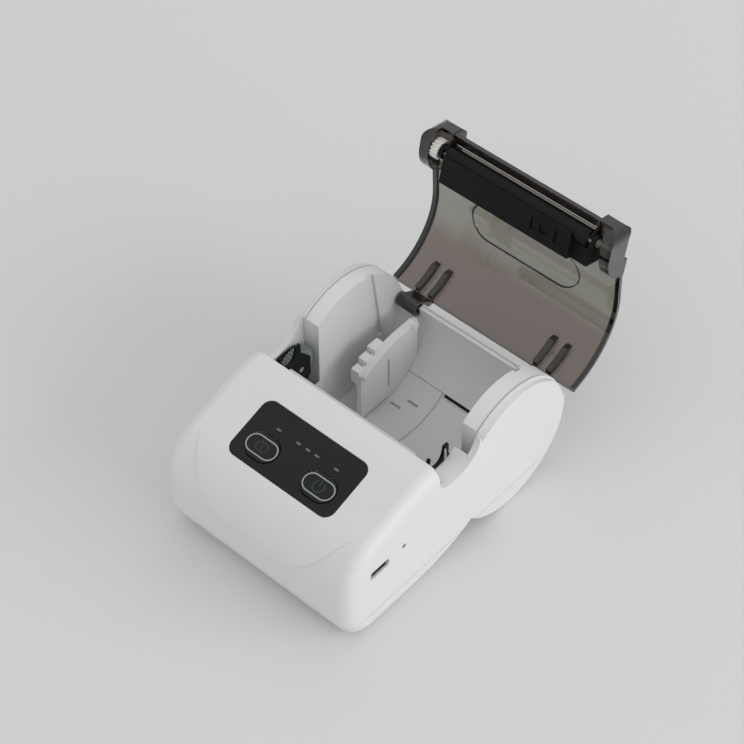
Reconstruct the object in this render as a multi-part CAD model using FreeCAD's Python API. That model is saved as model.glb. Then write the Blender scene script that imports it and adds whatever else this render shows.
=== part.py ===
"""Portable receipt printer with its smoke lid standing open: every piece as its own solid."""
import FreeCAD
import Part
import math
import os

# The frame's origin lies on the flat base this far along Y from the middle of the body.
origin_y = -34.0

# Body, seen from its right side: Y runs from the nose to the drum, Z up from the table.
half_width = 38.5
wall = 2.2
front_y = -52.5
chin_radius = 11.5
nose_radius = 17.4
nose_height = 23.8
panel_slope = 17.9
slope_length = 20.1
brow_radius = 20.0
heel_start = -20.0
heel_end = (6.5, 6.3)
drum_y = 25.6
drum_z = 26.0
drum_radius = 26.0
drum_inner = 23.6
trough_radius = 25.4
front_round = 4.5
drum_round = 1.0
parting_z = 7.9
seam = 0.08

# Raised nose: pushed forward inside an oval that widens to the rear, given as (y, half width, half height).
nose_push = 0.8
nose_sink = 0.02
oval_z = 40.0
oval_front = (-54.5, 24.5, 20.5)
oval_rear = (-42.0, 32.0, 28.0)

# Roll bay and the arched walls beside it.
bay_half = 29.8
bay_front = -10.4
bay_wall_front = 10.0
rear_rim_z = 30.0
arch_radius = 25.4
rabbet_radius = 24.7
rabbet_from = 36.4
lip_groove = (35.2, 35.8)
lip_groove_depth = 0.6
notch_gap = 0.6

# Hinge, lid and platen, written with the lid shut; the lid is turned open afterwards.
hinge_y = 49.0
hinge_z = 29.1
lid_open = 101.5
knuckle_radius = 2.6
knuckle_in = 21.2
knuckle_out = 28.8
hinge_pin_end = 35.8
lid_radius = 27.4
lid_thick = 1.7
lid_half = 38.4
lid_rear_angle = 24.0
lid_slope = 14.0
lid_front = -9.75
skirt_in = 36.8
skirt_radius = 25.1
rib_width = 2.0
rib_depth = 2.2
rib_from_y = 41.6
ear_low_at = (-5.7, 42.6)
ear_low_radius = 4.3
ear_rear_at = (-2.6, 49.5)
ear_rear_radius = 11.2
ear_top = 49.4
ear_corner = 1.7
ear_edge = 2.4
ear_turn = 3.2
ear_wall = 1.2
ear_in = 28.6
ear_rim_in = 34.6
ear_open_z = 43.6
ear_open_y = 0.0
outline_size = (45.0, 15.5)
outline_line = 0.6
outline_depth = 0.3
outline_angle = 100.3
platen_y = -3.65
platen_z = 41.55
platen_radius = 3.0
roller_half = 28.5
shaft_radius = 1.5
holder_half = 29.9
holder_bottom = 37.7
holder_lip_z = 39.0
holder_low_x = (-28.2, 23.6)

# Battery cover and bay divider, seen from above.
cover_box = (-25.0, 25.0, -43.0, -22.0)
cover_gap = 0.25
divider_feet_y = (21.0, 31.0)

# Control panel, in its own frame: x across, s up the slope from its middle, h out of the surface.
panel_y = -31.98
panel_z = 43.09
panel_size = (42.4, 21.4)
panel_round = 3.5
label_thick = 0.35
key_x = 11.7
key_s = -3.65
key_size = (12.0, 8.8)
key_gap = 0.35
key_proud = 0.3
lamp_s = 3.86
lamp_x = (-11.2, -3.05, 0.78, 4.47, 12.44)
lamp_size = (1.8, 0.7)

# Right side: data socket and charge lamp.
socket_y = -38.0
socket_z = 27.0
socket_size = (7.6, 2.6)
charge_y = -27.0
charge_z = 27.8

# Gear train on the left of the print mechanism.
module = 0.4
tooth_share = 0.38
gear_left = -34.2
gear_right = -31.6
platen_teeth = 16
drive_teeth = 35
idler_teeth = 40
pinion_teeth = 12
drive_at = (2.2, 32.0)
idler_bearing = 238.0
pinion_bearing = 235.0
axle_radius = 1.0
running_gap = 0.05
press_gap = 0.02

# Print mechanism.
plate_in = 30.2
plate_out = 31.2
head_y = (-8.2, -7.0)
sink_y = (-10.8, -8.3)
head_pivot = (-9.55, 28.6)
spring_x = 14.0
spring_width = 5.0


def v(x, y, z):
    return FreeCAD.Vector(x, y, z)


def box(x0, x1, y0, y1, z0, z1):
    return Part.makeBox(x1 - x0, y1 - y0, z1 - z0, v(x0, y0, z0))


def rod(x0, x1, at, radius):
    """Round bar along X through the point at = (y, z)."""
    return Part.makeCylinder(radius, x1 - x0, v(x0, at[0], at[1]), v(1, 0, 0))


def tube(x0, x1, at, radius, bore):
    return rod(x0, x1, at, radius).cut(rod(x0 - 1, x1 + 1, at, bore))


def polar(centre, radius, degrees):
    turn = math.radians(degrees)
    return (centre[0] + radius * math.cos(turn), centre[1] + radius * math.sin(turn))


def side_face(start, steps, x=0.0):
    """Face standing in the plane X = x. A step is (y, z) for a line or ((y, z), (y, z)) for an arc."""
    edges = []
    here = start
    for step in steps:
        if isinstance(step[0], tuple):
            middle, end = step
            arc = Part.Arc(v(x, *here), v(x, *middle), v(x, *end))
            edges.append(arc.toShape())
        else:
            end = step
            edges.append(Part.makeLine(v(x, *here), v(x, *end)))
        here = end
    return Part.Face(Part.Wire(edges))


def slab(face, x0, x1):
    """The side face swept from x0 to x1, whichever way round its outline runs."""
    moved = face.copy()
    moved.translate(v(x0, 0, 0))
    bar = moved.extrude(v(x1 - x0, 0, 0))
    if bar.Volume < 0:
        bar.reverse()
    return bar


def obround(length, width, x, s, h0, h1):
    """Bar with round ends, in the panel frame."""
    radius = width / 2
    reach = length / 2 - radius
    ends = [Part.makeCylinder(radius, h1 - h0, v(x + side * reach, s, h0)) for side in (-1, 1)]
    middle = Part.makeBox(2 * reach, width, h1 - h0, v(x - reach, s - radius, h0))
    return middle.fuse(ends).removeSplitter()


def rounded_plate(length, width, radius, h0, h1, x=0.0, s=0.0):
    plate = Part.makeBox(length, width, h1 - h0, v(x - length / 2, s - width / 2, h0))
    upright = [e for e in plate.Edges if abs(e.Vertexes[0].Z - e.Vertexes[1].Z) > 0.01]
    return plate.makeFillet(radius, upright)


def on_panel(shape):
    """Carries a shape from the panel frame onto the sloping top."""
    placed = shape.copy()
    placed.Placement = FreeCAD.Placement(
        v(0, panel_y, panel_z), FreeCAD.Rotation(v(1, 0, 0), panel_slope)
    ).multiply(placed.Placement)
    return placed


def join(shapes):
    return shapes[0].fuse(shapes[1:]).removeSplitter()


def opened(shape):
    """Turns a lid piece from shut to standing open."""
    turned = shape.copy()
    turned.rotate(v(0, hinge_y, hinge_z), v(1, 0, 0), -lid_open)
    return turned


def gear(teeth, at, bore, x0, x1, phase=0.0):
    """Spur gear with straight-flanked teeth and free play between them."""
    pitch = module * teeth / 2
    root = pitch - 1.0 * module
    tip = pitch + 0.8 * module
    half_root = math.degrees(tooth_share * math.pi * module / 2 / pitch) * 1.5
    half_tip = math.degrees(tooth_share * math.pi * module / 2 / pitch) * 0.55
    points = []
    for index in range(teeth):
        middle = phase + index * 360.0 / teeth
        for radius, angle in (
            (root, middle - half_root),
            (tip, middle - half_tip),
            (tip, middle + half_tip),
            (root, middle + half_root),
        ):
            points.append(polar(at, radius, angle))
    rim = [v(x0, *p) for p in points]
    solid = Part.Face(Part.makePolygon(rim + rim[:1])).extrude(v(x1 - x0, 0, 0))
    return solid.cut(rod(x0 - 1, x1 + 1, at, bore))


def front_steps(grow=0.0):
    """Outline of the front block; grow moves it outwards, or inwards when negative."""
    nose = (front_y + nose_radius, nose_height)
    chin = (front_y + chin_radius, chin_radius)
    slope_end = 90 + panel_slope
    low = polar(nose, nose_radius + grow, slope_end)
    run = math.radians(panel_slope)
    high = (low[0] + slope_length * math.cos(run), low[1] + slope_length * math.sin(run))
    brow = polar(high, -(brow_radius + grow), slope_end)
    top = (brow[0], brow[1] + brow_radius + grow)
    rise = heel_end[1]
    reach = heel_end[0] - heel_start
    sweep = (reach * reach + rise * rise) / (2 * rise)
    heel = (heel_start, sweep)
    last = math.degrees(math.asin(reach / sweep))
    start = (chin[0], -grow)
    back = 12.0 + min(grow, 0.0)
    steps = [
        (heel_start, -grow),
        (polar(heel, sweep + grow, -90 + last / 2), polar(heel, sweep + grow, -90 + last)),
        (back, polar(heel, sweep + grow, -90 + last)[1] + 1.2),
        (back, top[1]),
        top,
        (polar(brow, brow_radius + grow, 90 + panel_slope / 2), high),
        low,
        (polar(nose, nose_radius + grow, 145), (nose[0] - nose_radius - grow, nose[1])),
        (chin[0] - chin_radius - grow, chin[1]),
        (polar(chin, chin_radius + grow, 225), start),
    ]
    return start, steps


def edges_on_sides(shape, x):
    """Edges lying in the two side planes X = -x and X = x."""
    found = []
    for edge in shape.Edges:
        if all(abs(abs(vertex.X) - x) < 0.01 for vertex in edge.Vertexes):
            if abs(edge.Vertexes[0].X - edge.Vertexes[-1].X) < 0.01:
                found.append(edge)
    return found


def raised_nose():
    """Nose of the front block moved down along the panel's slope, kept inside the oval."""
    run = math.radians(panel_slope)
    nose = slab(side_face(*front_steps()), -half_width, half_width)
    nose.translate(v(0, -nose_push * math.cos(run), -nose_push * math.sin(run)))
    nose.translate(v(0, nose_sink * math.sin(run), -nose_sink * math.cos(run)))
    rings = []
    for y, half, height in (oval_front, oval_rear):
        ring = Part.Ellipse(v(0, 0, 0), half, height).toShape()
        ring.rotate(v(0, 0, 0), v(1, 0, 0), 90)
        ring.translate(v(0, y, oval_z))
        rings.append(Part.Wire([ring]))
    return nose.common(Part.makeLoft(rings, True, True))


def body_solid():
    """The closed outside of both housings."""
    block = slab(side_face(*front_steps()), -half_width, half_width)
    outline = [
        e for e in edges_on_sides(block, half_width) if e.CenterOfMass.y < 11.9 and e.Length > 1.5
    ]
    block = block.makeFillet(front_round, outline)
    drum = rod(-half_width, half_width, (drum_y, drum_z), drum_radius)
    rims = [e for e in drum.Edges if len(e.Vertexes) == 1]
    drum = drum.makeFillet(drum_round, rims)
    return join([block, drum, raised_nose()])


def ear_face(grow, high=None):
    """Rounded outline of the lid's ears; grown and open upwards for the notches, shrunk for the hollow."""
    low = ear_low_radius + grow
    rear = ear_rear_radius + grow
    front = ear_low_at[0] - low
    top = ear_top + grow
    rise = top - ear_rear_at[1]
    start = (ear_rear_at[0] + math.sqrt(rear * rear - rise * rise), top)
    steps = [
        (polar(ear_rear_at, rear, -45), (ear_rear_at[0], ear_rear_at[1] - rear)),
        (ear_low_at[0], ear_low_at[1] - low),
        (polar(ear_low_at, low, 225), (front, ear_low_at[1])),
    ]
    if high:
        return side_face(start, steps + [(front, high), (start[0], high), start])
    radius = ear_corner + grow
    corner = (front + radius, top - radius)
    turn = (polar(corner, radius, 135), (corner[0], top))
    return side_face(start, steps + [(front, corner[1]), turn, start])


def screw_spots():
    return [(side * x, y) for x, y in ((33.2, -36.0), (34.0, drum_y)) for side in (-1, 1)]


def hollow(body):
    """Body with its inside, bay, notches and wall details taken out."""
    drum_at = (drum_y, drum_z)
    inside = slab(side_face(*front_steps(-wall)), -half_width + wall, half_width - wall)
    keep = rod(-bay_half - 0.2, bay_half + 0.2, drum_at, trough_radius)
    keep = keep.common(box(-60, 60, -20, drum_y, -1, 20))
    inside = inside.cut(keep)
    bay = rod(-bay_half, bay_half, drum_at, drum_inner)
    over = box(-bay_half, bay_half, bay_front, 60, rear_rim_z, 70)
    mouth = box(-half_width + wall, half_width - wall, bay_front, bay_wall_front, parting_z, 70)
    mouth = mouth.cut(keep)
    pockets = []
    for side in (-1, 1):
        x0, x1 = sorted((side * (bay_half + 2.0), side * (half_width - wall)))
        pocket = rod(x0, x1, drum_at, drum_inner - 0.4)
        pockets.append(pocket.common(box(-60, 60, bay_wall_front + 2, 60, -1, 70)))
        x0, x1 = sorted((side * (half_width - wall - 0.5), side * (half_width + 1)))
        pockets.append(slab(ear_face(notch_gap, 70), x0, x1))
        x0, x1 = sorted((side * rabbet_from, side * 50))
        lower = rod(x0, x1, drum_at, 40).cut(rod(x0 - 1, x1 + 1, drum_at, rabbet_radius))
        pockets.append(lower.common(box(-60, 60, bay_wall_front - 1, 60, rear_rim_z + 1, 80)))
        x0, x1 = sorted((side * lip_groove[0], side * lip_groove[1]))
        ring = rod(x0, x1, drum_at, 40).cut(rod(x0 - 1, x1 + 1, drum_at, arch_radius - lip_groove_depth))
        pockets.append(ring.common(box(-60, 60, bay_wall_front - 1, 60, rear_rim_z + 1, 80)))
        x0, x1 = sorted((side * (knuckle_in - 0.4), side * bay_half))
        pockets.append(box(x0, x1, 44.5, 60, 25.2, 70))
    crown = rod(-50, 50, drum_at, 40).cut(rod(-51, 51, drum_at, arch_radius))
    pockets.append(crown.common(box(-60, 60, bay_wall_front - 1, 60, rear_rim_z + 1, 80)))
    return body.cut([inside, bay, over, mouth] + pockets)


def panel_cuts():
    """Label recess, key holes and lamp holes through the sloping top."""
    cuts = [rounded_plate(panel_size[0] + 0.2, panel_size[1] + 0.2, panel_round + 0.1,
                          -label_thick, 3)]
    for side in (-1, 1):
        hole = (key_size[0] + 2 * key_gap, key_size[1] + 2 * key_gap)
        cuts.append(obround(hole[0], hole[1], side * key_x, key_s, -6, 3))
    for x in lamp_x:
        cuts.append(obround(lamp_size[0] + 0.2, lamp_size[1] + 0.2, x, lamp_s, -6, 3))
    return [on_panel(c) for c in cuts]


def upper_housing(shell):
    """Top shell with the panel opening, arched bay walls, hinge bosses and screw bosses."""
    top = shell.common(box(-60, 60, -80, 80, parting_z + seam, 90))
    adds = []
    for side in (-1, 1):
        x0, x1 = sorted((side * (bay_half + 1.0), side * (half_width - 1.0)))
        adds.append(rod(x0, x1, (hinge_y, hinge_z), 2.2).common(rod(x0, x1, (drum_y, drum_z), arch_radius)))
    for x, y in screw_spots():
        height = 22.0 if y < 0 else 17.0
        post = Part.makeCylinder(2.3, height - parting_z - seam, v(x, y, parting_z + seam))
        adds.append(post)
        if y < 0:
            x0, x1 = sorted((x, math.copysign(half_width - 1, x)))
            adds.append(box(x0, x1, y - 0.8, y + 0.8, parting_z + seam, height))
    top = join([top] + adds)
    cuts = panel_cuts()
    for x, y in screw_spots():
        cuts.append(Part.makeCylinder(1.25, 9.0, v(x, y, parting_z - 1)))
    for side in (-1, 1):
        x0, x1 = sorted((side * (knuckle_in - 0.4), side * (hinge_pin_end + 0.2)))
        cuts.append(rod(x0, x1, (hinge_y, hinge_z), axle_radius + press_gap))
        x0, x1 = sorted((side * (bay_half - 1), side * (bay_half + 1.1)))
        groove = box(x0, x1, -1.2, 1.2, -16, 40)
        groove.rotate(v(0, 0, 0), v(1, 0, 0), 8)
        groove.translate(v(0, 37.4, 34))
        cuts.append(groove)
    slot = rounded_plate(socket_size[0] + 0.8, socket_size[1] + 0.8, 1.2, -3, 3)
    slot.rotate(v(0, 0, 0), v(0, 0, 1), 90)
    slot.rotate(v(0, 0, 0), v(0, 1, 0), 90)
    slot.translate(v(half_width - 0.5, socket_y, socket_z))
    cuts.append(slot)
    cuts.append(rod(half_width - 4, half_width + 2, (charge_y, charge_z), 0.85))
    for at in gear_axles():
        cuts.append(rod(-half_width + 1.0, -half_width + 4, at, axle_radius + press_gap))
    cuts.append(box(-knuckle_in + 1, knuckle_in - 1, 50.2, 50.7, rear_rim_z - 0.6, 40))
    return top.cut(cuts)


def gear_axles():
    """Idler and drive axle positions, idler first."""
    idler = polar(drive_at, module * (drive_teeth + idler_teeth) / 2, idler_bearing)
    return [idler, drive_at]


def pinion_at():
    return polar(gear_axles()[0], module * (idler_teeth + pinion_teeth) / 2, pinion_bearing)


def lower_housing(shell):
    """Bottom tray: bay floor, battery opening, screw pillars and divider slots."""
    tray = shell.common(box(-60, 60, -80, 80, -5, parting_z - seam))
    adds = []
    for x, y in screw_spots():
        pillar = Part.makeCylinder(3.0, parting_z - seam - 1.0, v(x, y, 1.0))
        adds.append(pillar)
    tray = join([tray] + adds)
    cuts = []
    for x, y in screw_spots():
        cuts.append(Part.makeCylinder(1.45, 20, v(x, y, -1)))
        cuts.append(Part.makeCylinder(2.2, 4.0, v(x, y, -1)))
    x0, x1, y0, y1 = cover_box
    cuts.append(box(x0 - cover_gap, x1 + cover_gap, y0 - cover_gap, y1 + cover_gap, -2, 6))
    for y in divider_feet_y:
        cuts.append(box(-21.4, -18.6, y - 1.4, y + 1.4, 2.0, 8))
    groove = rod(-3.2, -2.4, (drum_y, drum_z), drum_inner + 0.6)
    cuts.append(groove.common(box(-60, 60, 8.0, 44.0, -1, parting_z)))
    cuts.append(box(-2.4, 9.0, 39.6, 42.0, parting_z - 1.2, parting_z + 1))
    for x, y, z in ((-16.5, 29.8, 1.6), (-12.0, 33.5, 2.5)):
        cuts.append(box(x, x + 4.3, y - 0.4, y + 0.4, z, 8))
    return tray.cut(cuts)


def battery_cover(body):
    x0, x1, y0, y1 = cover_box
    inner = slab(side_face(*front_steps(-1.9)), -half_width, half_width)
    plate = body.common(box(x0, x1, y0, y1, -2, 8)).cut(inner)
    thumb = Part.makeCylinder(9.0, 18.0, v(-9.0, y1 - 4.5, -8.3), v(1, 0, 0))
    tabs = [box(x - 3, x + 3, y1 - 1.5, y1 + 1.6, 2.6, 3.4) for x in (-14.0, 14.0)]
    feet = [box(x - 3, x + 3, y1 - 1.5, y1 - 0.4, 1.5, 3.4) for x in (-14.0, 14.0)]
    return join([plate.cut(thumb)] + tabs + feet)


def lid_path(offset):
    """Outside or, with an offset, inside line of the shut lid: rear point, steps to the front edge."""
    centre = (drum_y, drum_z)
    radius = lid_radius - offset
    rear = polar(centre, radius, lid_rear_angle)
    crown = polar(centre, radius, 90 + lid_slope)
    middle = polar(centre, radius, (lid_rear_angle + 90 + lid_slope) / 2)
    front = (lid_front, crown[1] - (crown[0] - lid_front) * math.tan(math.radians(lid_slope)))
    return rear, middle, crown, front


def lid_band(outer, inner, x0, x1):
    """Curved wall between two offsets of the lid line."""
    rear, middle, crown, front = lid_path(outer)
    rear_in, middle_in, crown_in, front_in = lid_path(inner)
    face = side_face(
        rear,
        [(middle, crown), front, front_in, crown_in, (middle_in, rear_in), rear],
    )
    return slab(face, x0, x1)


def ear_hood(side):
    """Rounded hood over a roller end at a front corner of the lid, stepping up from the flat."""
    step_x = ear_in + ear_wall
    x0, x1 = sorted((side * step_x, side * lid_half))
    hood = slab(ear_face(0.0), x0, x1)
    x0, x1 = sorted((side * (ear_in - 1), side * ear_rim_in))
    behind = lid_band(lid_thick, 20, x0, x1).common(box(x0, x1, ear_open_y, 20, 30, 60))
    hood = hood.cut([box(x0, x1, -20, 20, 30, ear_open_z), behind])
    x0, x1 = sorted((side * ear_in, side * step_x))
    step = slab(ear_face(0.0), x0, x1).common(lid_band(-8, lid_thick / 2, x0, x1))
    x0, x1 = sorted((side * (lid_half - ear_edge), side * (lid_half + 1)))
    edge = box(x0, x1, -20, 2.0, ear_top - ear_edge, ear_top + 1)
    middle = v(side * (lid_half - ear_edge), -21, ear_top - ear_edge)
    edge = edge.cut(Part.makeCylinder(ear_edge, 40, middle, v(0, 1, 0)))
    return join([hood, step]).cut(edge)


def lid():
    """Smoke lid: arched shell, side skirts, ears, hinge arms with ribs, pressed obround outline."""
    shell = lid_band(0, lid_thick, -lid_half, lid_half)
    long_edges = [
        e for e in edges_on_sides(shell, lid_half)
        if e.Length > 20 and math.hypot(e.CenterOfMass.y - drum_y, e.CenterOfMass.z - drum_z) > 20
    ]
    outer = []
    for edge in long_edges:
        gap = [math.hypot(p.Y - drum_y, p.Z - drum_z) for p in edge.Vertexes]
        if max(gap) > lid_radius - 0.1 and min(gap) > lid_radius - 0.5:
            outer.append(edge)
    shell = shell.makeFillet(1.2, outer)
    adds = []
    for side in (-1, 1):
        x0, x1 = sorted((side * skirt_in, side * lid_half))
        adds.append(lid_band(lid_thick - 0.6, lid_radius - skirt_radius, x0, x1))
        adds.append(ear_hood(side))
        x0, x1 = sorted((side * knuckle_in, side * knuckle_out))
        knuckle = rod(x0, x1, (hinge_y, hinge_z), knuckle_radius)
        rear = polar((drum_y, drum_z), lid_radius, lid_rear_angle)
        rear_in = polar((drum_y, drum_z), lid_radius - lid_thick, lid_rear_angle)
        arm = side_face(
            (hinge_y - 1.6, hinge_z + 2.0),
            [(rear_in[0] + 0.1, rear_in[1] + 0.4), (rear[0] - 0.1, rear[1] + 0.4),
             (hinge_y + 2.5, hinge_z + 0.6), (hinge_y - 1.6, hinge_z + 2.0)],
        )
        adds += [knuckle, slab(arm, x0, x1)]
        for x in (knuckle_in, knuckle_out - rib_width):
            r0, r1 = sorted((side * x, side * (x + rib_width)))
            rib = lid_band(lid_thick - 0.4, lid_thick + rib_depth, r0, r1)
            adds.append(rib.common(box(-60, 60, rib_from_y, 60, 30, 60)))
    solid = join([shell] + adds)
    for side in (-1, 1):
        x0, x1 = sorted((side * (knuckle_in - 1), side * (knuckle_out + 1)))
        solid = solid.cut(rod(x0, x1, (hinge_y, hinge_z), axle_radius + running_gap))
        x0, x1 = sorted((side * (ear_in + ear_wall), side * skirt_in))
        solid = solid.cut(slab(ear_face(-ear_wall), x0, x1))
        x0, x1 = sorted((side * (lid_half - ear_turn), side * (lid_half + 1)))
        front = ear_low_at[0] - ear_low_radius
        corner = box(x0, x1, front - 1, front + ear_turn, 30, 60)
        middle = v(side * (lid_half - ear_turn), front + ear_turn, 25)
        solid = solid.cut(corner.cut(Part.makeCylinder(ear_turn, 40, middle)))
    length, width = outline_size
    line = 2 * outline_line
    ring = obround(length, width, 0, 0, -4, 2).cut(obround(length - line, width - line, 0, 0, -5, 3))
    ring.Placement = FreeCAD.Placement(
        v(0, *polar((drum_y, drum_z), lid_radius, outline_angle)),
        FreeCAD.Rotation(v(1, 0, 0), outline_angle - 90))
    return solid.cut(ring.common(lid_band(-2, outline_depth, -60, 60)))


def platen_holder():
    """Black bar under the lid that cradles the roller, with end plates, rear pockets and slots below."""
    crown_in, front_in = lid_path(lid_thick + 0.05)[2:]
    tilt = math.tan(math.radians(lid_slope))

    def under(y):
        return front_in[1] + (y - front_in[0]) * tilt

    face = side_face(
        (-7.6, under(-7.6)),
        [(6.6, under(6.6)), (5.8, holder_bottom + 0.6), (5.2, holder_bottom), (-4.7, holder_bottom),
         (-4.9, holder_bottom + 0.9), (-7.6, 43.2), (-7.6, under(-7.6))],
    )
    bar = slab(face, -holder_half, holder_half)
    at = (platen_y, platen_z)
    reach = roller_half + 0.4
    room = platen_radius + 0.35
    drop = platen_z - holder_lip_z
    lip = (platen_y - math.sqrt(room * room - drop * drop), holder_lip_z)
    rear = polar(at, room, 49)
    cradle = side_face(
        (-20, holder_lip_z),
        [lip, (polar(at, room, -41), rear), (rear[0], 60), (-20, 60), (-20, holder_lip_z)],
    )
    cuts = [slab(cradle, -reach, reach)]
    cuts.append(rod(-40, 40, at, shaft_radius + running_gap))
    cuts.append(box(holder_low_x[1], 40, -20, 20, 30, 40.2))
    cuts.append(box(-40, holder_low_x[0], -20, 20, 30, 40.2))
    for index in range(8):
        x = -24.5 + index * 7.0
        cuts.append(box(x - 2.7, x + 2.7, 2.4, 9.0, 40.6, 46.4))
    for x, half_x, half_y in ((8.8, 0.45, 2.3), (13.4, 1.6, 1.6), (18.2, 0.45, 2.3)):
        cuts.append(box(x - half_x, x + half_x, -half_y, half_y, 30, holder_bottom + 0.6))
    return bar.cut(cuts)


def platen_bushings():
    at = (platen_y, platen_z)
    return Part.makeCompound([
        tube(min(x), max(x), at, 2.6, shaft_radius + running_gap)
        for x in ((-31.3, -30.0), (30.0, 31.3))
    ])


def roll_divider():
    """Snap-in bay divider: webbed plate with a round top bead, stepped blocks and feet."""
    floor = drum_inner - 0.15
    at = (drum_y, drum_z)
    face = side_face(
        (17.0, 24.6),
        [(17.0, 4.0), (45.0, 4.0), (45.0, 29.6), (41.5, 30.2), ((32.0, 30.0), (22.5, 27.6)), (17.0, 24.6)],
    )
    plate = slab(face, -20.0, -18.0).common(rod(-30, -10, at, floor))
    bead = side_face(
        (17.6, 24.4),
        [((30.5, 29.6), (41.0, 30.2)), (41.0, 28.4), ((30.8, 27.8), (18.0, 22.8)), (17.6, 24.4)],
    )
    pieces = [plate, slab(bead, -18.5, -17.0), rod(-20.2, -16.8, (42.8, 28.8), 1.5)]
    for y0, y1, top in ((17.0, 20.2, 26.0), (20.6, 24.4, 28.4), (24.8, 29.6, 30.4)):
        pieces.append(box(-22.4, -19.0, y0, y1, top - 6.0, top))
    for y in divider_feet_y:
        pieces.append(box(-21.2, -18.8, y - 1.2, y + 1.2, 2.55, 8.5))
    solid = join(pieces)
    return solid.cut(box(-25, -10, 30.2, 31.0, 8.6, 22.0))


def mechanism_frame():
    """Black carrier: two forked side plates, a ribbed base and a back bar."""
    at = (platen_y, platen_z)
    fork = [(2.0, 40.0), (2.0, 44.2), (-7.4, 44.2), (-7.4, 43.0), (-24.0, 43.0)]
    outline = fork + [(-24.0, 4.4), (-8.5, 4.4), (-2.5, 12.0), (-1.8, 20.0), (6.4, 27.0), (6.4, 35.0)]
    right_line = fork + [(-24.0, 21.0), (-3.0, 21.0), (4.6, 27.0), (4.6, 35.0)]
    left = slab(side_face(outline[0], outline[1:] + outline[:1]), -plate_out, -plate_in)
    right = slab(side_face(right_line[0], right_line[1:] + right_line[:1]), plate_in, plate_out)
    entry = box(-40, 40, -3.2, 3.2, 0, 9)
    entry.rotate(v(0, 0, 0), v(1, 0, 0), -10)
    entry.translate(v(0, *at))
    notch = rod(-40, 40, at, 3.1).fuse(entry)
    base = box(-plate_out, plate_out, -24.0, -12.8, 22.0, 23.6)
    back = box(-plate_out, plate_out, -24.0, -22.6, 22.0, 41.0)
    ribs = [box(x - 0.6, x + 0.6, -23.0, -14.0, 23.0, 27.0) for x in (-24.0, 0.0, 24.0)]
    bar = join([left.cut(notch), right.cut(notch), base, back] + ribs)
    bar = bar.cut([rod(-40, -30, pinion_at(), 5.4)])
    cuts = [rod(-40, -30, a, axle_radius + press_gap) for a in gear_axles()]
    cuts.append(rod(-40, 40, head_pivot, axle_radius + press_gap))
    return bar.cut(cuts)


def gear_guard():
    """Black cover standing in the left notch beside the gears."""
    plate = slab(side_face(
        (-3.0, 37.2),
        [(-3.0, 12.0), (5.0, 20.0), (5.0, 37.2), (-3.0, 37.2)],
    ), -36.1, -34.9)
    lip = box(-36.1, -34.5, -3.0, 5.0, 36.0, 37.2)
    return join([plate, lip]).cut(rod(-40, -30, drive_at, axle_radius + press_gap))


def heat_sink():
    """Ribbed aluminium carrier of the print head, with a pivot eye at each end."""
    plate = box(-28.0, 28.0, sink_y[0], sink_y[1], 27.0, 43.0)
    fins = [box(x - 0.5, x + 0.5, sink_y[0] - 1.6, sink_y[0] + 0.2, 28.0, 33.5)
            for x in range(-25, 26, 5)]
    solid = join([plate] + fins)
    return solid.cut(rod(-40, 40, head_pivot, axle_radius + running_gap))


def head_spring(x):
    """Bent leaf spring from the back bar to the heat sink."""
    foot = -22.58
    tip = sink_y[0] - 0.4
    face = side_face(
        (foot, 29.0),
        [(foot + 0.3, 29.0), (foot + 0.3, 34.5), (tip, 38.0), (tip, 38.35), (foot, 34.8), (foot, 29.0)],
    )
    return slab(face, x - spring_width / 2, x + spring_width / 2)


def tear_bar():
    """Steel strip with a row of teeth along its rear edge."""
    teeth = 28
    pitch = 56.0 / teeth
    points = [v(-28.0, -15.0, 44.6), v(28.0, -15.0, 44.6), v(28.0, -11.2, 44.6)]
    for index in range(teeth):
        x = 28.0 - index * pitch
        points += [v(x - pitch / 2, -10.15, 44.6), v(x - pitch, -11.2, 44.6)]
    return Part.Face(Part.makePolygon(points + points[:1])).extrude(v(0, 0, 0.5))


def stepper_motor():
    at = pinion_at()
    can = rod(-28.9, -18.0, at, 6.0)
    flange = rod(-30.1, -28.9, at, 4.2)
    boss = rod(-18.2, -17.0, at, 2.0)
    return join([can, flange, boss]).cut(rod(-40, -24, at, 0.9))


def motor_pinion():
    """Pinion with its motor shaft."""
    at = pinion_at()
    teeth = gear(pinion_teeth, at, 0.5, gear_left, gear_right, pinion_phase())
    return join([teeth, rod(gear_left, -25.0, at, 0.8)])


def idler_phase():
    """Turn of the idler that puts a gap of it on the drive gear's first tooth."""
    return idler_bearing + 180 + 180.0 / idler_teeth


def pinion_phase():
    """Turn of the pinion that puts a tooth of it in a gap of the idler."""
    along = (pinion_bearing - idler_phase()) * idler_teeth / 360.0
    return pinion_bearing + 180 + (along - math.floor(along) + 0.5) * 360.0 / pinion_teeth


def key(side):
    """Push key with a retaining flange below the housing."""
    stem = obround(key_size[0], key_size[1], side * key_x, key_s, -3.0, key_proud)
    crown = max(stem.Faces, key=lambda f: f.CenterOfMass.z)
    stem = stem.makeChamfer(0.2, crown.Edges)
    flange = obround(key_size[0] + 2.4, key_size[1] + 2.4, side * key_x, key_s, -3.9, -2.9)
    post = Part.makeCylinder(1.4, 0.6, v(side * key_x, key_s, -4.4))
    return on_panel(join([stem, flange, post]))


def key_board():
    board = box(-20.0, 20.0, -9.5, 4.9, -8.0, -6.8)
    holes = [Part.makeCylinder(1.1, 4, v(x, s, -9)) for x in (-17.5, 17.5) for s in (-7.0, 2.8)]
    return on_panel(board.cut(holes))


def key_switches():
    switches = []
    for side in (-1, 1):
        x = side * key_x
        case = box(x - 3, x + 3, key_s - 3, key_s + 3, -6.75, -5.55)
        plunger = Part.makeCylinder(1.5, 0.6, v(x, key_s, -5.6))
        switches.append(on_panel(join([case, plunger])))
    return Part.makeCompound(switches)


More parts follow.
